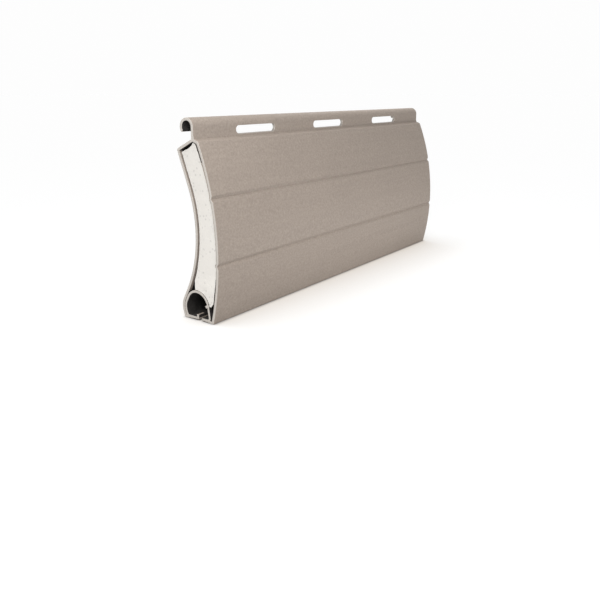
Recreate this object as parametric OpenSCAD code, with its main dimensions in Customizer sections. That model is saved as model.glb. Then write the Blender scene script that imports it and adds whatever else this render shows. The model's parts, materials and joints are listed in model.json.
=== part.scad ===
// Foam-filled aluminium slat of a roller shutter, cut as a short length.
// X runs along the slat, the bowed front looks to -Y and Z is up.
// The section is drawn in (Y, Z) from the front foot, then centred on the depth of the slat.

/* [Slat] */
// Length of the cut piece
slat_l = 200; // [190:1:400]
// Height of the front shoulder, which is the height that one slat covers
cover_h = 77.4; // [68:0.2:86]
// Thickness of the aluminium
wall = 1.2; // [0.9:0.05:1.4]

/* [Front] */
// How far the shoulder is set back behind the front foot
shoulder_y = 5.7; // [4.5:0.1:6.5]
// Radius of the bend at the shoulder
shoulder_r = 1.3; // [1.2:0.1:1.8]
// Radius of the bowed front
front_r = 121; // [100:1:200]
// Straight run at each end of the bow
bow_run = 2; // [1.5:0.1:4]
// Radius of the front foot
foot_r = 0.6; // [0.2:0.1:1]

/* [Back] */
// Depth of the upper back corner behind the front foot
back_top_y = 18.4; // [17.5:0.1:19.5]
// How far the upper back corner lies below the shoulder
back_drop = 3.5; // [2.5:0.1:5]
// Radius of the upper back corner
back_top_r = 1; // [0.4:0.1:1.6]
// Depth at which the two straight runs of the hollow back would meet
waist_y = 3.8; // [3:0.1:4.6]
// Height at which those runs would meet
waist_z = 34.8; // [33:0.1:37]
// Radius of the hollow back
waist_r = 55; // [40:1:62]
// Depth of the heel before it is rounded
heel_y = 19.1; // [18.6:0.1:19.8]
// Height of the heel
heel_z = 6; // [5.4:0.1:6.6]
// Radius of the heel
heel_r = 8; // [6:0.1:9]
// Depth of the back foot
back_foot_y = 17.3; // [16.8:0.1:17.8]

/* [Hook] */
// Height of the hook over the shoulder
hook_h = 9.6; // [8.5:0.1:10.8]
// Depth of the front face of the upright web
web_y = 8.4; // [8:0.1:8.8]
// Outer radius of the hook
hook_r = 3.8; // [3.4:0.1:3.9]
// How far the hook curls on past its rear side, in degrees
curl = 28; // [10:1:40]
// Height of the web's root over the shoulder
crown_rise = 1.2; // [0.8:0.1:1.6]
// How far the web flares forward at its root
flare = 0.5; // [0.2:0.1:0.8]
// Height of that flare
flare_h = 1.5; // [1:0.1:2]

/* [Light slots] */
// Number of slots
slot_n = 3; // [1:1:3]
// Distance between slot centres
slot_pitch = 58.5; // [40:0.5:64]
// How far the middle of the row lies past the middle of the slat
slot_shift = -1.7; // [-5:0.1:5]
// Length of a slot
slot_l = 27; // [15:0.5:32]
// Height of a slot
slot_h = 3.5; // [2.8:0.1:3.8]
// Height of a slot's centre above the shoulder
slot_rise = 3.7; // [3.5:0.1:3.9]
// How far the relief in the hook's lip runs on past each end of a slot
relief_run = 9; // [0:0.5:12]

/* [Grooves] */
// Height of the lower groove
groove_low = 26; // [20:0.5:34]
// Height of the upper groove
groove_high = 54.3; // [48:0.1:58]
// Width of a groove at the face
groove_w = 2.8; // [2:0.1:3.6]
// Depth of a groove
groove_d = 0.8; // [0.5:0.05:1]

/* [Hook chamber] */
// Room over a hook that stands in the chamber
headroom = 2.8; // [2:0.1:3.6]
// Thickness of the chamber's own wall
chamber_t = 1.05; // [0.9:0.05:1.2]
// Slit between that wall and the back of the slat
seam = 0.25; // [0.15:0.05:0.4]
// Gap between the front wall and the chamber's leg at the floor
leg_gap = 0.35; // [0.2:0.05:0.8]
// How far the leg leans back over its height
leg_lean = 1.6; // [1:0.1:2.2]
// Depth of the arch's highest point
peak_y = 9.7; // [9:0.1:10.4]
// Inner radius where the chamber's walls meet the floor
floor_r = 0.8; // [0.3:0.1:1.2]
// Rise of the hollow under the floor
floor_rise = 0.6; // [0.3:0.1:0.8]
// Thickness of the floor over that hollow
floor_t = 0.95; // [0.8:0.05:1.3]
// How far the catch rib's front face lies behind the front face of the web
rib_offset = 0.25; // [0:0.05:1]
// Height of the catch rib over the floor
rib_h = 1.1; // [0.8:0.1:2]
// Clearance on each side of the next slat's web in the floor slot
web_clear = 0.25; // [0.2:0.05:0.5]
// Width of the small square bead on the leg, and how far it stands out
bead = 1.1; // [0.7:0.1:1.4]
// Height of the bead's root
bead_z = 7.5; // [6.5:0.1:8]
// How far the bead dips below the level, in degrees
bead_dip = 35; // [20:1:45]

/* [Foam] */
// Gap between the foam and the walls
foam_gap = 0.15; // [0.1:0.05:0.4]
// Gap between the foam and the sloping top
foam_top_gap = 1; // [0.4:0.1:1.4]
// How far the foam stops short of the cut ends
foam_recess = 0.5; // [0.3:0.1:1.5]
// Height at which the foam leaves the front wall
foam_front_z = 12.5; // [11:0.1:14]
// Depth of the foam's lower tip, which lies on the chamber's leg
foam_tip_y = 0.9; // [0.4:0.1:1.4]
// Height of that tip
foam_tip_z = 7.5; // [6.5:0.1:9]
// Depth at which the foam ends on the chamber's arch
foam_back_y = 11.7; // [10:0.1:12]

/* [Hidden] */
profile_colour = [0.66, 0.61, 0.56];
foam_colour = [0.93, 0.91, 0.87];
$fn = 64;

// Finest steps along a rounding, as an angle and as a length
step_deg = 6;
step_l = 1.2;
// How far a cut runs on past the faces that it opens
over = 1;
// Share of the chamber's top that the two roundings of its arch take up
arch_share = 0.97;
// Share of a side that one rounding may take up
side_share = 0.96;

function unit(v) = v / norm(v);
function xy(p) = [p[0], p[1]];
function left(v) = [-v[1], v[0]];
function turn(a, b) = a[0] * b[1] - a[1] * b[0];
function polar(c, r, a) = c + r * [cos(a), sin(a)];
function heading(v) = atan2(v[1], v[0]);

// Points on an arc from one angle to another
function arc(c, r, from, to) =
    let (n = max(2, ceil(max(abs(to - from) / step_deg, abs(to - from) * PI * r / 180 / step_l))))
    [for (k = [0 : n]) polar(c, r, from + (to - from) * k / n)];

// Half the angle between the two sides of the corner b
function half_angle(a, b, c) = acos(unit(xy(a) - xy(b)) * unit(xy(c) - xy(b))) / 2;

// Radius of the corner b, its third number, where its two sides are long enough for it
function fitted(a, b, c) =
    min(b[2], side_share * tan(half_angle(a, b, c)) * min(norm(xy(a) - xy(b)), norm(xy(c) - xy(b))));

// Centre of the rounding of the corner b
function round_centre(a, b, c) =
    let (in = unit(xy(a) - xy(b)), out = unit(xy(c) - xy(b)))
    xy(b) + unit(in + out) * fitted(a, b, c) / sin(half_angle(a, b, c));

// Points of one rounded corner
function corner(a, b, c) =
    b[2] <= 0 ? [xy(b)] :
    let (
        bend = turn(xy(b) - xy(a), xy(c) - xy(b)) > 0 ? 1 : -1,
        first = heading(xy(b) - xy(a)) - 90 * bend
    )
    arc(round_centre(a, b, c), fitted(a, b, c), first, first + bend * (180 - 2 * half_angle(a, b, c)));

// Closed outline with every corner rounded
function rounded(v) =
    let (n = len(v))
    [for (i = [0 : n - 1]) each corner(v[(i + n - 1) % n], v[i], v[(i + 1) % n])];

// The same outline moved inward by d, or outward where d is negative, with concentric roundings
function inset(v, d) =
    let (n = len(v))
    [for (i = [0 : n - 1])
        let (
            in = unit(xy(v[i]) - xy(v[(i + n - 1) % n])),
            out = unit(xy(v[(i + 1) % n]) - xy(v[i])),
            move = d * (left(in) + left(out)) / (1 + left(in) * left(out)),
            r = v[i][2] + (turn(in, out) > 0 ? -d : d)
        )
        [v[i][0] + move[0], v[i][1] + move[1], max(0, r)]];

// Point at the height z on the line through a and b
function at_height(a, b, z) = xy(a) + (xy(b) - xy(a)) * (z - a[1]) / (b[1] - a[1]);

// Corner that bows the line from a to c outward on a radius r, but for a straight run at each end
function bow_corner(a, c, r, run) =
    let (
        span = xy(c) - xy(a),
        half = norm(span) / 2,
        tilt = asin((half - run) / r),
        peak = xy(a) + span / 2 + unit(left(span)) * half * tan(tilt)
    )
    [each peak, (half / cos(tilt) - run) / tan(tilt)];

// Corners of the body, counter-clockwise from the front foot, each with its radius
front_foot = [0, 0, foot_r];
back_foot = [back_foot_y, 0, foot_r];
heel = [heel_y, heel_z, heel_r];
waist = [waist_y, waist_z, waist_r];
back_top = [back_top_y, cover_h - back_drop, back_top_r];
crown = [web_y + wall / 2, cover_h + crown_rise, 0];
shoulder = [shoulder_y, cover_h, shoulder_r];
bow = bow_corner(front_foot, shoulder, front_r, bow_run);
body = [front_foot, back_foot, heel, waist, back_top, crown, shoulder, bow];

bow_centre = round_centre(shoulder, bow, front_foot);
heel_centre = round_centre(back_foot, heel, waist);
front_most = bow_centre[0] - bow[2];
back_most = heel_centre[0] + fitted(back_foot, heel, waist);
centre_y = (front_most + back_most) / 2;

// The hook of the slat below stands in the chamber, so the chamber takes its height from it
chamber_top = hook_h + headroom;
floor_z = floor_rise + floor_t;
leg_y = wall + leg_gap + chamber_t;

// The chamber's back follows the back of the slat
lining = inset(body, wall + seam + chamber_t);
leg_root = [leg_y, floor_z, floor_r];
heel_root = [each at_height(lining[1], lining[2], floor_z), floor_r];
arch_back = at_height(lining[2], lining[3], chamber_top);
arch_front = [leg_y + leg_lean, chamber_top];
back_bend = arch_share * (arch_back[0] - peak_y) * tan(half_angle(lining[2], arch_back, arch_front));
front_bend = arch_share * (peak_y - arch_front[0]) * tan(half_angle(arch_back, arch_front, leg_root));
chamber = [leg_root, heel_root, lining[2], [each arch_back, back_bend], [each arch_front, front_bend]];

// The next slat's web passes the floor just before the catch rib
rib_y = web_y + rib_offset;
floor_slot_y = rib_y - wall - 2 * web_clear;

hook_centre = [web_y + hook_r, cover_h + hook_h - hook_r];
web_root_z = crown[1] - wall / 2;
slot_z = cover_h + slot_rise;

// Cut with round ends, of a given length, between two depths
module slot_cut(length, from, to) {
    translate([0, to - centre_y, slot_z])
        rotate([90, 0, 0])
            linear_extrude(to - from) {
                square([length - slot_h, slot_h], center = true);
                for (side = [-1, 1])
                    translate([side * (length - slot_h) / 2, 0])
                        circle(d = slot_h);
            }
}

// Web and hook as one bent strip with a round tip
module hook_shape() {
    tip = polar(hook_centre, hook_r - wall / 2, -curl);
    polygon([
        [web_y - flare, web_root_z],
        [web_y + wall, web_root_z],
        each arc(hook_centre, hook_r - wall, 180, -curl),
        each arc(tip, wall / 2, -curl - 180 + step_deg, -curl - step_deg),
        each arc(hook_centre, hook_r, -curl, 180),
        [web_y, web_root_z + flare_h]
    ]);
}

// Place and direction of a groove on the bowed front: local x points into the wall
module on_front(z) {
    tilt = asin((z - bow_centre[1]) / bow[2]);
    translate([bow_centre[0] - bow[2] * cos(tilt), z])
        rotate(-tilt)
            children();
}

// V cut of a groove
module groove_cut() {
    grow = 1 + over / groove_d;
    polygon([[groove_d, 0], [-over, groove_w / 2 * grow], [-over, -groove_w / 2 * grow]]);
}

// Ridge behind a groove, where the metal is pressed in, grown by a gap
module groove_ridge(gap) {
    tip = wall + groove_d / 2 + gap;
    foot = groove_w / 2 + gap;
    polygon([[wall / 2, foot], [wall / 2, -foot], [tip, -foot / 3], [tip, foot / 3]]);
}

// Outline of the space between the walls, with the chamber's arch standing in it
module cavity_shape(gap) {
    difference() {
        polygon(rounded(inset(body, wall + gap)));
        polygon(rounded(inset(chamber, -chamber_t - gap)));
        for (z = [groove_low, groove_high])
            on_front(z)
                groove_ridge(gap);
    }
}

// Chamber with the rib that catches the next hook and the bead on its leg
module chamber_shape() {
    difference() {
        polygon(rounded(chamber));
        translate([rib_y, 0])
            square([wall, floor_z + rib_h]);
        translate(at_height(leg_root, arch_front, bead_z))
            rotate(-bead_dip)
                translate([-chamber_t / 2, -bead / 2])
                    square([chamber_t / 2 + bead, bead]);
    }
}

// Slot in the floor for the web of the next slat, and the hollow under the floor
module floor_cuts() {
    translate([floor_slot_y, -over])
        square([rib_y - floor_slot_y, floor_z + 2 * over]);
    half = back_foot_y / 2 - wall;
    radius = (half * half + floor_rise * floor_rise) / (2 * floor_rise);
    translate([back_foot_y / 2, floor_rise - radius])
        circle(r = radius);
}

// Section of the aluminium
module profile_shape() {
    difference() {
        union() {
            polygon(rounded(body));
            hook_shape();
        }
        cavity_shape(0);
        chamber_shape();
        floor_cuts();
        for (z = [groove_low, groove_high])
            on_front(z)
                groove_cut();
    }
}

// Section of the foam, which leaves the corners of the cavity empty
module foam_shape() {
    slope = xy(back_top) - xy(crown);
    difference() {
        cavity_shape(foam_gap);
        translate(xy(crown))
            rotate(heading(slope))
                translate([-over, -wall - foam_top_gap])
                    square([norm(slope) + 2 * over, wall + foam_top_gap]);
        polygon([
            [front_most, foam_front_z],
            [front_most, 0],
            [leg_y, 0],
            [leg_y, foam_tip_z],
            [foam_tip_y, foam_tip_z]
        ]);
        translate([foam_back_y, 0])
            square([back_most - foam_back_y, waist_z]);
    }
}

// Stretch a section along X, with its depth centred on Y
module along_x(length) {
    translate([0, -centre_y, 0])
        rotate([90, 0, 90])
            linear_extrude(length, center = true)
                children();
}

module aluminium_profile() {
    color(profile_colour)
        difference() {
            along_x(slat_l)
                profile_shape();
            for (i = [0 : slot_n - 1])
                translate([slot_shift + (i - (slot_n - 1) / 2) * slot_pitch, 0, 0]) {
                    slot_cut(slot_l, web_y - flare - over, hook_centre[0]);
                    slot_cut(slot_l + 2 * relief_run, hook_centre[0], hook_centre[0] + hook_r + over);
                }
        }
}

module foam_core() {
    color(foam_colour)
        along_x(slat_l - 2 * foam_recess)
            foam_shape();
}

aluminium_profile();
foam_core();
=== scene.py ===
"""Looks of a short length of foam-filled roller shutter slat, standing on a pale floor."""

import json
import math

import bmesh
import bpy
from mathutils import Matrix, Vector, geometry, noise
from mathutils.bvhtree import BVHTree
from mathutils.kdtree import KDTree


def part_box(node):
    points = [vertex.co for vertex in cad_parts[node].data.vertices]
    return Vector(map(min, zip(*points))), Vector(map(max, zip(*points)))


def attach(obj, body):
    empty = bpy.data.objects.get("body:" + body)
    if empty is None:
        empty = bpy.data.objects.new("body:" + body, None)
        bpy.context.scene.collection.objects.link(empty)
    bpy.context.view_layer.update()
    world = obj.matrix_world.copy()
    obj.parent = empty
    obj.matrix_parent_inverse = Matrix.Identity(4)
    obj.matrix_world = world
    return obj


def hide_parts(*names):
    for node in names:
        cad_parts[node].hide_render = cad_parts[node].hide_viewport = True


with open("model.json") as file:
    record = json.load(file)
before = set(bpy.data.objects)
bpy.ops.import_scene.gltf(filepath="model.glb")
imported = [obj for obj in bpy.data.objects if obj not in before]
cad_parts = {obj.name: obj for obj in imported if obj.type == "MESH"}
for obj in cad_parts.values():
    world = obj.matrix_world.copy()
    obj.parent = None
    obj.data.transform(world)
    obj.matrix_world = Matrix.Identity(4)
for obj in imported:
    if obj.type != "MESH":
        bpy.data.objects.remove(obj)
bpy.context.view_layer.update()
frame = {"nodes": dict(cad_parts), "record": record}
scene = bpy.context.scene
scene.view_settings.view_transform = "Standard"

MM = 0.001
PROFILE = "aluminium_profile"
FOAM = "foam_core"

# Camera: place in metres, heading from +X towards +Y, tilt below the level, width of its sensor in
# millimetres, and the nearest that it sees in metres
CAMERA_PLACE = Vector((-0.28719, -0.19267, 0.09724))
CAMERA_HEADING = math.radians(36.645)
CAMERA_TILT = math.radians(12.413)
SENSOR_WIDTH = 36
NEAREST_SIGHT = 0.01
# Picture in pixels: its side, the focal length of the lens and the row that the lens looks straight at
IMAGE_SIZE = 600
FOCAL_PIXELS = 645.13
AXIS_PIXEL_Y = 233.83

# Reading of meshes: points nearer than this are one, and the part of a face's normal along an axis from
# which the face counts as square to that axis, or as turned mainly that way
SAME_POINT = 0.001 * MM
SQUARE_FACING = 0.99
MAIN_FACING = 0.5
# Least divisor for the move of a sharp corner, so that it isn't drawn far out
LEAST_DIVISOR = 0.5
# Fill of an outline with triangles: the kind that keeps what lies inside it, and how near points are one
FILL_INSIDE = 1
WELD = 0.0001 * MM

# Aluminium: the strip's wall, the hook's radius, and how far its lip is relieved past each end of a slot
WALL = 1.2 * MM
HOOK_RADIUS = 3.8 * MM
RELIEF_RUN = 9 * MM
# Broken edge of the cuts: its size, then steps from the cut end with the share of that size at each
RIM = 0.12 * MM
RIM_STEPS = [(0, 1), (0.3 * RIM, 0.3), (RIM, 0)]
# Cutters of the slots: how far they reach past the metal, and the steps around each of their ends
OVER = 1 * MM
ARC_STEPS = 20
# Edges that turn more than this stay sharp
SHARP_TURN = math.radians(24)
# Places of the profile's materials in its list: paint, bare metal and near-black painted shade
PAINTED, BARE, SHADED_FACES = range(3)

# A face that sees out in no more than this share of the directions across the slat gets painted shade. Then
# the number of directions, how far off the face they start, and the longest stretch of outline judged whole
SIGHT_SHARE = 0.13
SIGHT_RAYS = 72
SIGHT_OFFSET = 0.05 * MM
SIGHT_STEP = 1 * MM
# Inner bounds of the end bands where some such faces keep paint, not painted shade, and the width of a slit
LIT_BANDS = [1.6 * MM, 3.5 * MM]
SLIT = 0.4 * MM
# Places across the section, as lowest and highest (y, z): rib and bead in the hook chamber, and back wall
RIB = ((1.25 * MM, 1 * MM), (2.6 * MM, 2.8 * MM))
BEAD = ((-4.6 * MM, 5.6 * MM), (-2.6 * MM, 8.3 * MM))
BACK_WALL = ((-2 * MM, 12.5 * MM), (11 * MM, 73 * MM))

# Foam's section: height of what counts as its foot, and the lean at which its arch's end stands out most
FOOT_HEIGHT = 0.1 * MM
ARCH_LEAN = 2 / 7
# Points on the foam: spacing along its outline and of the net over its ends, the shift of the net's points,
# the number of points over which it turns, and its seed
FOAM_STEP = 0.4 * MM
FOAM_GRID = 0.32 * MM
GRID_SHIFT = FOAM_GRID / 3
GRID_SHIFT_RUN = 1.7
FOAM_SEED = 1
# Depth of the foam's ends inside the cut ends: nearly flush up to one height, sunk from a second one on
FOAM_FLUSH = 0.2 * MM
FOAM_FLUSH_Z = 13 * MM
FOAM_RECESS = 0.55 * MM
FOAM_RECESS_Z = 22 * MM
# Gaps that the foam leaves at its ends: where its foot stops, along the back after a rise, and along the
# front with a flare above a height. Then steps from the end with the share of the gaps at each
FOAM_FOOT_CUT = 1.1 * MM
FOAM_BACK_INSET = 0.5 * MM
FOAM_BACK_RISE = 16 * MM
FOAM_FRONT_INSET = 0.45 * MM
FOAM_FRONT_FLARE = 0.6 * MM
FOAM_FLARE_Z = 52 * MM
FOAM_ROUND = [(0, 1), (0.3 * MM, 0.8), (1.2 * MM, 0.4), (3 * MM, 0)]
# Upper edge of the foam: sag and its lean towards the peak, the peak's lift, run and curve, the share of the
# lift at the very corner, and the lift at the rear
FOAM_SAG = 0.65 * MM
FOAM_SAG_LEAN = 1.5
FOAM_PEAK_LIFT = 0.75 * MM
FOAM_PEAK_RUN = 1.8 * MM
FOAM_PEAK_CURVE = 1.5
FOAM_CORNER_SHARE = 0.2
FOAM_REAR_LIFT = 0.15 * MM
# Uneven edge of the foam: depth, size of the waves, and the share of the depth that the edge has on average
FOAM_WOBBLE = 0.12 * MM
FOAM_WOBBLE_SIZE = 1.4 * MM
FOAM_WOBBLE_MEAN = 0.5
# Torn cells on the foam's ends, fine pores and larger pits: size of a cell, the share of it that its hole
# reaches from the middle, and the hole's depth
PORE_SIZE = 0.9 * MM
PORE_REACH = 0.45
PORE_DEPTH = 0.12 * MM
PIT_SIZE = 3.2 * MM
PIT_REACH = 0.16
PIT_DEPTH = 0.35 * MM
# Grain on the foam's ends: size and depth, then the fall between its scales, their ratio and their number
GRAIN_SIZE = 0.5 * MM
GRAIN_DEPTH = 0.05 * MM
GRAIN_SCALES = (0.8, 2, 3)
# Heights where the foam's front side is brown, not painted shade, and the places of its materials in their
# list
FOAM_FLANK_Z = (20 * MM, 69 * MM)
WHITE, FLANK, SHADED_SIDE = range(3)

# Colours, linear
PAINT = (0.365, 0.308, 0.264)
CUT_METAL = (0.56, 0.52, 0.475)
# Near-black colour painted on inside faces as shade where hardly any light reaches
PAINTED_SHADE_COLOUR = (0.034, 0.031, 0.029)
FOAM_WHITE = (0.785, 0.755, 0.708)
FOAM_FLANK = (0.50, 0.43, 0.36)
# Near-black colour painted on the foam's sides in the gaps as shade
FOAM_SIDE_SHADE = (0.07, 0.06, 0.05)
# Noise in the materials: how much its finer scales count, and the range that most of its values lie in
NOISE_ROUGHNESS = 0.6
NOISE_SPREAD = (0.3, 0.7)

# Studio: level of the even light, the floor's size in metres, its bounce, its white where it lies open, and
# how much of that white each colour loses in full shadow
AMBIENT = 0.425
FLOOR_SIZE = 40
FLOOR_BOUNCE = 0.6
FLOOR_WHITE = 0.985
FLOOR_LOSS = Vector((0.30, 0.32, 0.34))
# Painted shade on the floor beside the slat, darker where it touches: how near the slat each starts, and the
# share that each colour loses in a closed spot. Contact counts as closed from the given openness down
BESIDE_REACH = 65 * MM
BESIDE_LOSS = (0.39, 0.51, 0.65)
CONTACT_REACH = 1.8 * MM
CONTACT_LOSS = (0.88, 0.93, 0.97)
CONTACT_OPENNESS = 0.25
# Openness below which the floor's white glow fades, as painted shade beneath the slat
BENEATH_OPENNESS = 0.4
# Broad light: the direction that it comes from, its angle across and its strength
OVERHEAD = (Vector((-0.12, 0.20, 0.97)).normalized(), math.radians(40), 1.4)
# Soft lamps: place, the point that each looks at, width, height and power in watts. The key lamp stands off
# the near end, the card low in front, and the top lamp over the far end of the hook
KEY_LAMP = (Vector((-0.235, -0.115, 0.19)), Vector((-0.05, 0, 0.05)), 0.12, 0.12, 0.40)
LOW_CARD = (Vector((0.04, -0.09, 0.006)), Vector((0.04, 0, 0.012)), 0.24, 0.012, 0.043)
TOP_LAMP = (Vector((0.065, 0.025, 0.14)), Vector((0.065, 0.005, 0.087)), 0.09, 0.01, 0.015)
# Light on the open floor without the soft lamps, as the level that a plain white would show
FLOOR_LIGHT = AMBIENT + OVERHEAD[0].z * OVERHEAD[2] / math.pi


def aimed(place, look):
    """Placement of a camera or a light that looks in a direction."""
    return Matrix.Translation(place) @ look.to_track_quat("-Z", "Y").to_matrix().to_4x4()


def make_camera():
    """Camera at the photograph's viewing angle."""
    data = bpy.data.cameras.new("camera")
    data.sensor_width = SENSOR_WIDTH
    data.lens = SENSOR_WIDTH * FOCAL_PIXELS / IMAGE_SIZE
    data.shift_y = (AXIS_PIXEL_Y - IMAGE_SIZE / 2) / IMAGE_SIZE
    data.clip_start = NEAREST_SIGHT
    camera = bpy.data.objects.new("camera", data)
    scene.collection.objects.link(camera)
    level = Vector((math.cos(CAMERA_HEADING), math.sin(CAMERA_HEADING), 0))
    look = level * math.cos(CAMERA_TILT) - Vector((0, 0, math.sin(CAMERA_TILT)))
    camera.matrix_world = aimed(CAMERA_PLACE, look)
    scene.camera = camera


def in_cut_end(face, end_x):
    """Whether a face belongs to the near cut end."""
    return face.normal.x < -SQUARE_FACING and abs(face.calc_center_median().x - end_x) < SAME_POINT


def section_loops(node):
    """Outlines of a node's cut end as lists of (y, z) points, walked with the material on the left."""
    bm = bmesh.new()
    bm.from_mesh(frame["nodes"][node].data)
    bmesh.ops.remove_doubles(bm, verts=bm.verts, dist=SAME_POINT)
    end_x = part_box(node)[0].x
    cap = [face for face in bm.faces if in_cut_end(face, end_x)]
    follows = {}
    for face in cap:
        for corner in face.loops:
            if sum(other in cap for other in corner.edge.link_faces) == 1:
                follows[corner.link_loop_next.vert] = corner.vert
    loops = []
    while follows:
        start = next(iter(follows))
        walk = [start]
        step = follows.pop(start)
        while step != start:
            walk.append(step)
            step = follows.pop(step)
        loops.append([Vector(v.co.yz) for v in walk])
    bm.free()
    return sorted(loops, key=lambda loop: -signed_area(loop))


def sides(loop):
    """Pairs of neighbours around a closed loop."""
    return zip(loop, loop[1:] + loop[:1])


def signed_area(loop):
    """Area inside a closed outline, positive where it is walked counter-clockwise."""
    return sum(a.cross(b) for a, b in sides(loop)) / 2


def split_sides(loop, longest):
    """A closed outline whose sides are split evenly, so that none is longer than a given length."""
    points = []
    for a, b in sides(loop):
        parts = math.ceil((b - a).length / longest)
        points += [a.lerp(b, k / parts) for k in range(parts)]
    return points


def inward(loop):
    """For each point of an outline, the move that shifts both its sides a unit into the material."""
    moves = []
    for before, here, after in zip(loop[-1:] + loop[:-1], loop, loop[1:] + loop[:1]):
        first = (here - before).normalized().orthogonal()
        second = (after - here).normalized().orthogonal()
        both = first + second
        moves.append(both / max(LEAST_DIVISOR, 1 + first.dot(second)))
    return moves


def add_rings(bm, stations):
    """Skin over closed rows of points. Returns the rings of vertices and the strips of faces."""
    rings = [[bm.verts.new(p) for p in points] for points in stations]
    strips = []
    count = len(rings[0])
    for near, far in zip(rings, rings[1:]):
        strips.append([
            bm.faces.new((near[i], near[(i + 1) % count], far[(i + 1) % count], far[i]))
            for i in range(count)
        ])
    return rings, strips


def ring_edges(first, count):
    """Edges of a closed ring that starts at a place in a list of points, as pairs of places."""
    return [(first + i, first + (i + 1) % count) for i in range(count)]


def in_material(spot, points, edges):
    """Whether a flat spot lies between outlines: an odd number of their edges then lies beside it."""
    beside = 0
    for first, second in edges:
        a, b = points[first], points[second]
        if (a.y > spot.y) != (b.y > spot.y):
            beside += spot.x < a.x + (b.x - a.x) * (spot.y - a.y) / (b.y - a.y)
    return beside % 2 == 1


def fill_end(bm, rings, facing):
    """Flat cap between rings of vertices, the inner ones as holes, which faces along X by a sign."""
    flat = [vert for ring in rings for vert in ring]
    points = [vert.co.yz for vert in flat]
    edges = []
    for ring in rings:
        edges += ring_edges(flat.index(ring[0]), len(ring))
    _, _, triangles, origins, _, _ = geometry.delaunay_2d_cdt(points, edges, [], FILL_INSIDE, WELD)
    faces = []
    for corners in triangles:
        places = [origins[i][0] for i in corners]
        middle = sum((points[i] for i in places), Vector((0, 0))) / 3
        if in_material(middle, points, edges):
            faces.append(bm.faces.new([flat[i] for i in places[::facing]]))
    return faces


def make_object(bm, name, materials):
    """Turn a bmesh into an object of the scene."""
    mesh = bpy.data.meshes.new(name)
    bm.to_mesh(mesh)
    bm.free()
    for material in materials:
        mesh.materials.append(material)
    made = bpy.data.objects.new(name, mesh)
    scene.collection.objects.link(made)
    return made


def make_piece(bm, name, materials, replaced):
    """Turn a bmesh into a piece that rides on the slat and stands for a CAD node."""
    piece = make_object(bm, name, materials)
    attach(piece, "root")
    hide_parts(replaced)
    return piece


def sees_out(tree, spot):
    """Share of the directions across the slat in which a spot sees past the section."""
    clear = 0
    for k in range(SIGHT_RAYS):
        angle = 2 * math.pi * k / SIGHT_RAYS
        hit = tree.ray_cast(spot, Vector((0, math.cos(angle), math.sin(angle))))
        clear += hit[0] is None
    return clear / SIGHT_RAYS


def in_place(spot, low, high):
    """Whether a point lies in a box across the section, given by two (y, z) corners."""
    return low[0] < spot.y < high[0] and low[1] < spot.z < high[1]


def rim_stations(loop, low, high):
    """Rows of points for a length whose cut ends have a fine broken edge."""
    moves = inward(loop)
    near = []
    for step, share in RIM_STEPS + [(band, 0) for band in LIT_BANDS]:
        near.append((step, [p + m * RIM * share for p, m in zip(loop, moves)]))
    rows = [[Vector((low + step, *p)) for p in points] for step, points in near]
    rows += [[Vector((high - step, *p)) for p in points] for step, points in near[::-1]]
    return rows


def lit_depth(tree, face):
    """Bands from the cut end where a face keeps paint before painted shade starts; one more than all if
    open.
    """
    spot = face.calc_center_median()
    start = spot + face.normal * SIGHT_OFFSET
    if in_place(spot, *BEAD) or in_place(spot, *RIB):
        return len(LIT_BANDS) if face.normal.z > MAIN_FACING else 0
    if sees_out(tree, start) > SIGHT_SHARE:
        return len(LIT_BANDS) + 1
    in_slit = tree.ray_cast(start, face.normal, SLIT)[0] is not None
    return 1 if in_slit or in_place(spot, *BACK_WALL) else 0


def coat_strips(tree, strips):
    """Leave the rims of a skin bare, paint its faces as far as they take light and give the rest painted
    shade.
    """
    rims = len(RIM_STEPS) - 1
    middle = len(strips) // 2
    for i, face in enumerate(strips[middle]):
        lit = rims + lit_depth(tree, face)
        for place, strip in enumerate(strips):
            depth = min(place, len(strips) - 1 - place)
            strip[i].material_index = BARE if depth < rims else PAINTED if depth < lit else SHADED_FACES


def make_profile():
    """Painted strip with bare sawn ends, painted shade on inside faces and punched slots."""
    low, high = (corner.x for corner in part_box(PROFILE))
    bm = bmesh.new()
    skins = []
    for loop in section_loops(PROFILE):
        skins.append(add_rings(bm, rim_stations(split_sides(loop, SIGHT_STEP), low, high)))
    bm.normal_update()
    tree = BVHTree.FromBMesh(bm)
    for _, strips in skins:
        coat_strips(tree, strips)
    for end, facing in ((0, -1), (-1, 1)):
        for face in fill_end(bm, [rings[end] for rings, _ in skins], facing):
            face.material_index = BARE
    materials = [paint_material(), cut_material(), shade_material()]
    profile = make_piece(bm, "slat_profile", materials, PROFILE)
    cut_slots(profile, materials)
    shade_by_angle(profile)


def slot_outline(length, radius):
    """Closed outline of a slot with round ends, as (x, z) points around its centre."""
    points = []
    for side in (1, -1):
        for k in range(ARC_STEPS + 1):
            angle = math.pi * (k / ARC_STEPS - 0.5)
            along = length / 2 - radius + radius * math.cos(angle)
            points.append(Vector((side * along, side * radius * math.sin(angle))))
    return points


def add_slot_cutter(bm, centre, length, radius, steps):
    """Closed slot-shaped body: each step is a depth along Y and how far the outline grows there."""
    stations = []
    for y, grow in steps:
        outline = slot_outline(length + 2 * grow, radius + grow)
        stations.append([(centre.x + p.x, y, centre.z + p.y) for p in outline])
    rings, _ = add_rings(bm, stations)
    bm.faces.new(rings[0][::-1])
    bm.faces.new(rings[-1])


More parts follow.
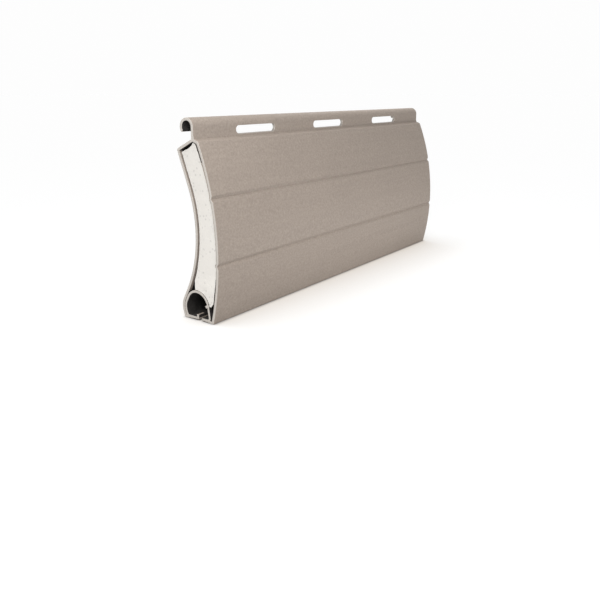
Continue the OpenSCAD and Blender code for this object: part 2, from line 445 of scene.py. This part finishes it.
def cut_slots(profile, materials):
    """Punch the row of light slots through the web and the reliefs behind them through the hook's lip."""
    mount = next(m for m in frame["record"]["mounts"] if m["name"] == "end_slots")
    middle = Vector(mount["pos_m"])
    reach = mount["dims"]["spacing_x_mm"] * MM / 2
    length = mount["dims"]["slot_length_mm"] * MM
    radius = mount["dims"]["hole_r_mm"] * MM
    face_y = middle.y - WALL / 2
    hook_y = face_y + HOOK_RADIUS
    # The first cutter widens towards the front, which breaks the slot's edge by the rim
    through_web = [(face_y - OVER, OVER + RIM), (face_y + RIM, 0), (hook_y, 0)]
    through_lip = [(hook_y + RIM, 0), (hook_y + HOOK_RADIUS + OVER, 0)]
    bm = bmesh.new()
    for shift in (-reach, 0, reach):
        centre = middle + Vector((shift, 0, 0))
        add_slot_cutter(bm, centre, length, radius, through_web)
        add_slot_cutter(bm, centre, length + 2 * RELIEF_RUN, radius, through_lip)
    for face in bm.faces:
        face.material_index = BARE
    bmesh.ops.recalc_face_normals(bm, faces=bm.faces)
    cutter = make_object(bm, "slot_cutter", materials)
    apply_boolean(profile, cutter)
    bpy.data.objects.remove(cutter)


def apply_boolean(piece, cutter):
    """Take one body out of another and keep the result as plain mesh."""
    cut = piece.modifiers.new("cut", "BOOLEAN")
    cut.operation = "DIFFERENCE"
    cut.solver = "EXACT"
    cut.object = cutter
    apply_modifiers(piece)


def apply_modifiers(piece):
    """Replace a piece's mesh by what its modifiers make of it."""
    shown = piece.evaluated_get(bpy.context.evaluated_depsgraph_get())
    mesh = bpy.data.meshes.new_from_object(shown)
    piece.modifiers.clear()
    piece.data = mesh


def shade_by_angle(piece):
    """Smooth shading that keeps sharp edges and flat faces flat."""
    piece.data.shade_smooth()
    piece.data.set_sharp_from_angle(angle=SHARP_TURN)
    weighted = piece.modifiers.new("flat_faces", "WEIGHTED_NORMAL")
    weighted.keep_sharp = True
    apply_modifiers(piece)


def resample(points, step):
    """The same open line with points about a step apart, its ends and all but its closest corners kept."""
    corners = points[:1]
    for p in points[1:-1]:
        if min((p - corners[-1]).length, (p - points[-1]).length) > step / 2:
            corners.append(p)
    corners.append(points[-1])
    line = []
    for a, b in zip(corners, corners[1:]):
        parts = max(1, round((b - a).length / step))
        line += [a.lerp(b, k / parts) for k in range(parts)]
    return line + corners[-1:]


def shorten(line, cut):
    """An open line with as many points, cut short at its end by a length along it."""
    runs = [0]
    for a, b in zip(line, line[1:]):
        runs.append(runs[-1] + (b - a).length)
    kept = 1 - cut / runs[-1]
    short = []
    part = 0
    for run in runs:
        while part < len(line) - 2 and runs[part + 1] < run * kept:
            part += 1
        share = (run * kept - runs[part]) / (runs[part + 1] - runs[part])
        short.append(line[part].lerp(line[part + 1], share))
    return short


def smooth_step(value, low, high):
    """0 below low, 1 above high and a smooth rise between."""
    share = min(1, max(0, (value - low) / (high - low)))
    return share * share * (3 - 2 * share)


def foam_chains():
    """The foam's section from the frame in three lines: its foot on the arch, its back and its front."""
    loop = section_loops(FOAM)[0]
    floor_z = min(p.y for p in loop)
    start = min((p for p in loop if p.y < floor_z + FOOT_HEIGHT), key=lambda p: p.x)
    first = loop.index(start)
    loop = loop[first:] + loop[:first]
    low_z = (floor_z + max(p.y for p in loop)) / 4
    arch_end = loop.index(max((p for p in loop if p.y < low_z), key=lambda p: p.x - ARCH_LEAN * p.y))
    rear_top = loop.index(max(loop, key=lambda p: p.x + p.y))
    peak = loop.index(max(loop, key=lambda p: p.y))
    return (
        resample(loop[:arch_end + 1], FOAM_STEP),
        resample(loop[arch_end:rear_top + 1], FOAM_STEP),
        resample(loop[peak:] + loop[:1], FOAM_STEP),
    )


def foam_top(rear, peak):
    """Upper edge of the foam, which hangs below the sloping wall and climbs into the peak under the web."""
    count = round((rear - peak).length / FOAM_STEP)
    edge = []
    for k in range(1, count):
        p = rear.lerp(peak, k / count)
        drop = FOAM_SAG * math.sin(math.pi * (k / count) ** FOAM_SAG_LEAN)
        climb = FOAM_PEAK_LIFT * max(0, 1 - (peak - p).length / FOAM_PEAK_RUN) ** FOAM_PEAK_CURVE
        climb += FOAM_REAR_LIFT * (1 - k / count)
        edge.append(p + Vector((0, climb - drop)))
    return edge


def foam_outline(chains, share):
    """Outline of the foam, drawn back from the walls by a share of the full gaps."""
    foot, back, front = chains
    foot = shorten(foot, share * FOAM_FOOT_CUT)
    corner = foot[-1] - back[0]
    inset = Vector((-share * FOAM_BACK_INSET, 0))
    rises = [smooth_step(p.y - back[0].y, 0, FOAM_BACK_RISE) for p in back]
    back = [p + corner.lerp(inset, rise) for p, rise in zip(back, rises)]
    back[-1] += Vector((0, FOAM_REAR_LIFT))
    eased = []
    for p in front:
        flare = FOAM_FRONT_FLARE * smooth_step(p.y, FOAM_FLARE_Z, front[0].y)
        eased.append(p + Vector((share * (FOAM_FRONT_INSET + flare), 0)))
    peak = eased[0] + Vector((0, FOAM_PEAK_LIFT * FOAM_CORNER_SHARE))
    return wobbled(foot[:-1] + back + foam_top(back[-1], peak) + [peak] + eased[1:-1])


def wobbled(outline):
    """An outline that is drawn into the material unevenly, as torn foam is."""
    points = []
    for p, move in zip(outline, inward(outline)):
        wave = noise.noise(p.to_3d() / FOAM_WOBBLE_SIZE)
        points.append(p + move * FOAM_WOBBLE * max(0, FOAM_WOBBLE_MEAN + wave))
    return points


def foam_recess(z):
    """How far the foam's end lies inside the cut end: nearly flush around the arch, sunk above it."""
    return FOAM_FLUSH + (FOAM_RECESS - FOAM_FLUSH) * smooth_step(z, FOAM_FLUSH_Z, FOAM_RECESS_Z)


def pore_depth(y, z, seed):
    """Depth of the torn cells at a point of the foam's end."""
    spot = Vector((y, z, seed))
    pore = noise.voronoi(spot / PORE_SIZE)[0][0]
    pit = noise.voronoi(spot / PIT_SIZE)[0][0]
    grain = noise.fractal(spot / GRAIN_SIZE, *GRAIN_SCALES)
    depth = PORE_DEPTH * max(0, 1 - pore / PORE_REACH)
    depth += PIT_DEPTH * max(0, 1 - pit / PIT_REACH)
    return depth + GRAIN_DEPTH * (1 + grain) / 2


def foam_net(outline, seed):
    """Uneven net of points over the box of an outline, none of them near the outline itself."""
    edge = KDTree(len(outline))
    for i, p in enumerate(outline):
        edge.insert(p.to_3d(), i)
    edge.balance()
    low_y, high_y = min(p.x for p in outline), max(p.x for p in outline)
    low_z, high_z = min(p.y for p in outline), max(p.y for p in outline)
    net = []
    for row in range(int((high_z - low_z) / FOAM_GRID) + 1):
        for column in range(int((high_y - low_y) / FOAM_GRID) + 1):
            # Every second row is moved by half a spacing
            place = Vector((low_y + (column + row % 2 / 2) * FOAM_GRID, low_z + row * FOAM_GRID))
            place += GRID_SHIFT * noise.noise_vector(Vector((column, row, seed)) / GRID_SHIFT_RUN).xy
            if edge.find(place.to_3d())[2] > FOAM_GRID:
                net.append(place)
    return net


def add_foam_end(bm, ring, end_x, facing, seed):
    """Torn end of the foam over its outermost ring: a fine net of points pushed in by its pores."""
    outline = [v.co.yz for v in ring]
    points = outline + foam_net(outline, seed)
    outer = ring_edges(0, len(outline))
    spots, _, triangles, origins, _, _ = geometry.delaunay_2d_cdt(points, outer, [], FILL_INSIDE, WELD)
    verts = []
    for spot, origin in zip(spots, origins):
        first = min(origin)
        if first < len(ring):
            verts.append(ring[first])
        else:
            sunk = foam_recess(spot.y) + pore_depth(spot.x, spot.y, seed)
            verts.append(bm.verts.new((end_x - facing * sunk, spot.x, spot.y)))
    for corners in triangles:
        face = bm.faces.new([verts[i] for i in corners][::facing])
        face.material_index = WHITE
    # Points of the net outside the outline are left without faces
    bmesh.ops.delete(bm, geom=[v for v in verts if not v.link_faces], context="VERTS")


def make_foam():
    """Rigid foam between the walls: torn pores on its sawn ends, a brown front side and painted shade on the
    rest.
    """
    noise.seed_set(FOAM_SEED)
    low, high = (corner.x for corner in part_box(PROFILE))
    chains = foam_chains()
    outlines = [(step, foam_outline(chains, share)) for step, share in FOAM_ROUND]
    ends = []
    for end_x, facing in ((low, -1), (high, 1)):
        ends.append([
            [Vector((end_x - facing * (step + foam_recess(p.y)), *p)) for p in points]
            for step, points in outlines
        ])
    bm = bmesh.new()
    rings, strips = add_rings(bm, ends[0] + ends[1][::-1])
    bm.normal_update()
    # Front-facing sides within a band of heights are brown; all other sides get near-black painted shade
    for face in (face for strip in strips for face in strip):
        beside_front = FOAM_FLANK_Z[0] < face.calc_center_median().z < FOAM_FLANK_Z[1]
        face.material_index = FLANK if beside_front and face.normal.y < -MAIN_FACING else SHADED_SIDE
    add_foam_end(bm, rings[0], low, -1, seed=1)
    add_foam_end(bm, rings[-1], high, 1, seed=2)
    for face in bm.faces:
        face.smooth = True
    for ring in (rings[0], rings[-1]):
        for a, b in sides(ring):
            bm.edges.get((a, b)).smooth = False
    # The brown front side, and the near-black painted shade on the other sides
    flank = foam_side_material("foam_flank", FOAM_FLANK)
    skin = foam_side_material("foam_side_shade", FOAM_SIDE_SHADE)
    make_piece(bm, "foam_filling", [foam_material(), flank, skin], FOAM)


def new_material(name, **constants):
    """Material with its shader, its nodes and a texture coordinate in metres."""
    material = bpy.data.materials.new(name)
    material.use_nodes = True
    tree = material.node_tree
    shader = tree.nodes["Principled BSDF"]
    for socket, value in constants.items():
        shader.inputs[socket.replace("_", " ")].default_value = value
    coordinates = tree.nodes.new("ShaderNodeTexCoord").outputs["Object"]
    return material, tree, shader, coordinates


def stretched(tree, coordinates, scale):
    """Coordinates scaled by a different amount along each axis."""
    mapping = tree.nodes.new("ShaderNodeMapping")
    mapping.inputs["Scale"].default_value = scale
    tree.links.new(coordinates, mapping.inputs["Vector"])
    return mapping.outputs["Vector"]


def height_of(tree, coordinates):
    """Height of a spot in metres."""
    axes = tree.nodes.new("ShaderNodeSeparateXYZ")
    tree.links.new(coordinates, axes.inputs[0])
    return axes.outputs["Z"]


def add_noise(tree, coordinates, size, detail=3):
    """Noise with features of about a given size in metres."""
    texture = tree.nodes.new("ShaderNodeTexNoise")
    texture.inputs["Scale"].default_value = 1 / size
    texture.inputs["Detail"].default_value = detail
    texture.inputs["Roughness"].default_value = NOISE_ROUGHNESS
    tree.links.new(coordinates, texture.inputs["Vector"])
    return texture.outputs["Fac"]


def add_cells(tree, coordinates, size):
    """Distance from the middle of the nearest of many cells, as a share of a given size in metres."""
    texture = tree.nodes.new("ShaderNodeTexVoronoi")
    texture.inputs["Scale"].default_value = 1 / size
    tree.links.new(coordinates, texture.inputs["Vector"])
    return texture.outputs["Distance"]


def add_range(tree, value, low, high, start=0.0, end=1.0):
    """Value spread from the range start to end over the range low to high."""
    node = tree.nodes.new("ShaderNodeMapRange")
    node.inputs["From Min"].default_value = start
    node.inputs["From Max"].default_value = end
    node.inputs["To Min"].default_value = low
    node.inputs["To Max"].default_value = high
    tree.links.new(value, node.inputs["Value"])
    return node.outputs["Result"]


def add_pattern(tree, coordinates, size, low, high, detail=3, spread=NOISE_SPREAD):
    """Noise of a given size in metres, spread over the range low to high."""
    return add_range(tree, add_noise(tree, coordinates, size, detail), low, high, *spread)


def add_math(tree, operation, first, *others):
    """Product, largest or the like of several values."""
    for other in others:
        node = tree.nodes.new("ShaderNodeMath")
        node.operation = operation
        tree.links.new(first, node.inputs[0])
        tree.links.new(other, node.inputs[1])
        first = node.outputs[0]
    return first


def add_vector_math(tree, operation, first, second):
    """Difference, product or the like of two colours, each of them a socket or a plain value."""
    node = tree.nodes.new("ShaderNodeVectorMath")
    node.operation = operation
    for socket, value in zip(node.inputs, (first, second)):
        if isinstance(value, bpy.types.NodeSocket):
            tree.links.new(value, socket)
        else:
            socket.default_value = value
    return node.outputs["Vector"]


def add_tint(tree, colour, brightness):
    """Colour multiplied by a brightness that varies over the surface."""
    node = tree.nodes.new("ShaderNodeVectorMath")
    node.operation = "SCALE"
    node.inputs[0].default_value = colour
    tree.links.new(brightness, node.inputs["Scale"])
    return node.outputs["Vector"]


def add_bump(tree, shader, height, depth):
    """Relief of a given depth in metres."""
    bump = tree.nodes.new("ShaderNodeBump")
    bump.inputs["Strength"].default_value = 1
    bump.inputs["Distance"].default_value = depth
    tree.links.new(height, bump.inputs["Height"])
    tree.links.new(bump.outputs["Normal"], shader.inputs["Normal"])


def add_openness(tree, distance):
    """Share of the directions from a spot in which nothing lies within a distance."""
    node = tree.nodes.new("ShaderNodeAmbientOcclusion")
    node.inputs["Distance"].default_value = distance
    return node.outputs["AO"]


def add_painted_shade(tree, colour, openness, loss, least=0.0):
    """Painted shade: colour that loses a share of its parts where a spot is closed in, fully at the least
    openness.
    """
    closed = add_range(tree, openness, 1, 0, start=least)
    kept = add_vector_math(tree, "SUBTRACT", (1, 1, 1), add_tint(tree, loss, closed))
    return add_vector_math(tree, "MULTIPLY", colour, kept)


def add_diffuse(tree, colour):
    """Plain matt shader."""
    node = tree.nodes.new("ShaderNodeBsdfDiffuse")
    node.inputs["Color"].default_value = (*colour, 1)
    return node.outputs[0]


def seen_directly(tree):
    """1 for rays of the camera and for what reflections and clear things show, otherwise 0."""
    path = tree.nodes.new("ShaderNodeLightPath")
    rays = [path.outputs[f"Is {kind} Ray"] for kind in ("Camera", "Glossy", "Transmission")]
    return add_math(tree, "MAXIMUM", *rays)


def paint_material():
    """Satin baked paint: fine mottling, faint streaks along the slat, soft clouds and orange peel."""
    material, tree, shader, coordinates = new_material("greige_paint", Specular_IOR_Level=0.1)
    along = stretched(tree, coordinates, (0.03, 1, 1))
    mottling = add_pattern(tree, coordinates, size=0.9 * MM, low=0.85, high=1.15, spread=(0.25, 0.75))
    streaks = add_pattern(tree, along, size=2.2 * MM, low=0.98, high=1.02, detail=2)
    clouds = add_pattern(tree, coordinates, size=35 * MM, low=0.985, high=1.015, detail=2)
    brightness = add_math(tree, "MULTIPLY", mottling, streaks, clouds)
    tree.links.new(add_tint(tree, PAINT, brightness), shader.inputs["Base Color"])
    gloss = add_pattern(tree, coordinates, size=2.5 * MM, low=0.42, high=0.56)
    tree.links.new(gloss, shader.inputs["Roughness"])
    add_bump(tree, shader, add_noise(tree, coordinates, size=0.55 * MM, detail=2), depth=0.012 * MM)
    return material


def cut_material():
    """Bare aluminium left by the saw and the punch, with fine marks across it."""
    material, tree, shader, coordinates = new_material("cut_aluminium", Metallic=0.35)
    across = stretched(tree, coordinates, (1, 0.12, 1))
    marks = add_noise(tree, across, size=0.25 * MM)
    bands = add_range(tree, marks, 0.9, 1.08, *NOISE_SPREAD)
    grain = add_pattern(tree, coordinates, size=0.5 * MM, low=0.95, high=1.04)
    brightness = add_math(tree, "MULTIPLY", bands, grain)
    tree.links.new(add_tint(tree, CUT_METAL, brightness), shader.inputs["Base Color"])
    gloss = add_range(tree, marks, 0.42, 0.6, *NOISE_SPREAD)
    tree.links.new(gloss, shader.inputs["Roughness"])
    add_bump(tree, shader, marks, depth=0.01 * MM)
    return material


def shade_material():
    """Near-black painted shade, in uneven patches, on faces that hardly any light reaches."""
    material, tree, shader, coordinates = new_material("painted_inner_shade", Specular_IOR_Level=0.2)
    patches = add_pattern(tree, coordinates, size=3 * MM, low=0.7, high=1.4)
    tree.links.new(add_tint(tree, PAINTED_SHADE_COLOUR, patches), shader.inputs["Base Color"])
    gloss = add_pattern(tree, coordinates, size=1 * MM, low=0.75, high=0.95)
    tree.links.new(gloss, shader.inputs["Roughness"])
    return material


def foam_side_material(name, colour):
    """Matt side of the foam in the gaps along the walls, in a given colour: brown, or near-black painted
    shade.
    """
    material, tree, shader, coordinates = new_material(name, Specular_IOR_Level=0.2, Roughness=0.9)
    patches = add_pattern(tree, coordinates, size=2 * MM, low=0.75, high=1.25)
    tree.links.new(add_tint(tree, colour, patches), shader.inputs["Base Color"])
    add_bump(tree, shader, add_noise(tree, coordinates, size=0.5 * MM), depth=0.05 * MM)
    return material


def foam_material():
    """Rigid white foam: fine cell relief, painted shade in a few pores, painted light at the foot and shade
    at the top.
    """
    material, tree, shader, coordinates = new_material("rigid_foam", Specular_IOR_Level=0.15)
    cells = add_cells(tree, coordinates, size=2.2 * MM)
    # Darker spots at a few cells: painted shade in the pores
    pores = add_range(tree, cells, 0.82, 1, start=0.08, end=0.28)
    clouds = add_pattern(tree, coordinates, size=5 * MM, low=0.975, high=1.015)
    grain = add_pattern(tree, coordinates, size=0.35 * MM, low=0.975, high=1.02)
    # Painted light at the foot and painted shade towards the top
    top_shade_and_foot_light = add_range(tree, height_of(tree, coordinates), 1.05, 0.93, start=20 * MM, end=72 * MM)
    brightness = add_math(tree, "MULTIPLY", pores, clouds, grain, top_shade_and_foot_light)
    tree.links.new(add_tint(tree, FOAM_WHITE, brightness), shader.inputs["Base Color"])
    gloss = add_pattern(tree, coordinates, size=1 * MM, low=0.8, high=0.95)
    tree.links.new(gloss, shader.inputs["Roughness"])
    add_bump(tree, shader, add_noise(tree, coordinates, size=0.4 * MM, detail=4), depth=0.05 * MM)
    return material


def floor_material():
    """Matt floor, seen as white as the backdrop less its shadows from the lamps and painted shade near the
    slat.
    """
    material = bpy.data.materials.new("floor")
    material.use_nodes = True
    tree = material.node_tree
    tree.nodes.remove(tree.nodes["Principled BSDF"])
    beside = add_openness(tree, BESIDE_REACH)
    contact = add_openness(tree, CONTACT_REACH)
    # Painted shade beside the slat and at its contact, by how closed in each spot is
    colour = add_painted_shade(tree, [FLOOR_WHITE - loss for loss in FLOOR_LOSS], beside, BESIDE_LOSS)
    colour = add_painted_shade(tree, colour, contact, CONTACT_LOSS, CONTACT_OPENNESS)
    glow = tree.nodes.new("ShaderNodeEmission")
    tree.links.new(colour, glow.inputs["Color"])
    # The glow fades beneath the slat, as painted shade
    tree.links.new(add_range(tree, beside, 0, 1, end=BENEATH_OPENNESS), glow.inputs["Strength"])
    seen = tree.nodes.new("ShaderNodeAddShader")
    tree.links.new(add_diffuse(tree, FLOOR_LOSS / FLOOR_LIGHT), seen.inputs[0])
    tree.links.new(glow.outputs[0], seen.inputs[1])
    mix = tree.nodes.new("ShaderNodeMixShader")
    tree.links.new(seen_directly(tree), mix.inputs["Fac"])
    tree.links.new(add_diffuse(tree, [FLOOR_BOUNCE] * 3), mix.inputs[1])
    tree.links.new(seen.outputs[0], mix.inputs[2])
    tree.links.new(mix.outputs[0], tree.nodes["Material Output"].inputs["Surface"])
    return material


def make_floor():
    """White studio floor, which keeps the slat's soft shadow, partly cast by the lamps and partly painted.
    """
    bm = bmesh.new()
    bmesh.ops.create_grid(bm, x_segments=1, y_segments=1, size=FLOOR_SIZE / 2)
    floor = make_object(bm, "floor", [floor_material()])


def make_world():
    """Even surroundings: seen as white as the open floor, and at a lower level as light."""
    world = bpy.data.worlds.new("world")
    scene.world = world
    world.use_nodes = True
    tree = world.node_tree
    background = tree.nodes["Background"]
    background.inputs["Color"].default_value = (1, 1, 1, 1)
    level = add_range(tree, seen_directly(tree), AMBIENT, FLOOR_WHITE)
    tree.links.new(level, background.inputs["Strength"])


def add_light(name, data, place, look):
    """Put a light in the scene, looking in a direction and unseen by the camera."""
    light = bpy.data.objects.new(name, data)
    scene.collection.objects.link(light)
    light.matrix_world = aimed(place, look)
    light.visible_camera = False


def make_broad_light(name, source, angle, strength):
    """Even light from one direction, soft enough for a faint shadow."""
    data = bpy.data.lights.new(name, "SUN")
    data.angle = angle
    data.energy = strength
    add_light(name, data, source, -source)


def make_lamp(name, place, target, width, height, power):
    """Soft lamp that looks at a point."""
    data = bpy.data.lights.new(name, "AREA")
    data.shape = "RECTANGLE"
    data.size = width
    data.size_y = height
    data.energy = power
    add_light(name, data, place, target - place)


make_camera()
make_profile()
make_foam()
make_floor()
make_world()
make_broad_light("overhead", *OVERHEAD)
make_lamp("key_lamp", *KEY_LAMP)
make_lamp("low_card", *LOW_CARD)
make_lamp("top_lamp", *TOP_LAMP)
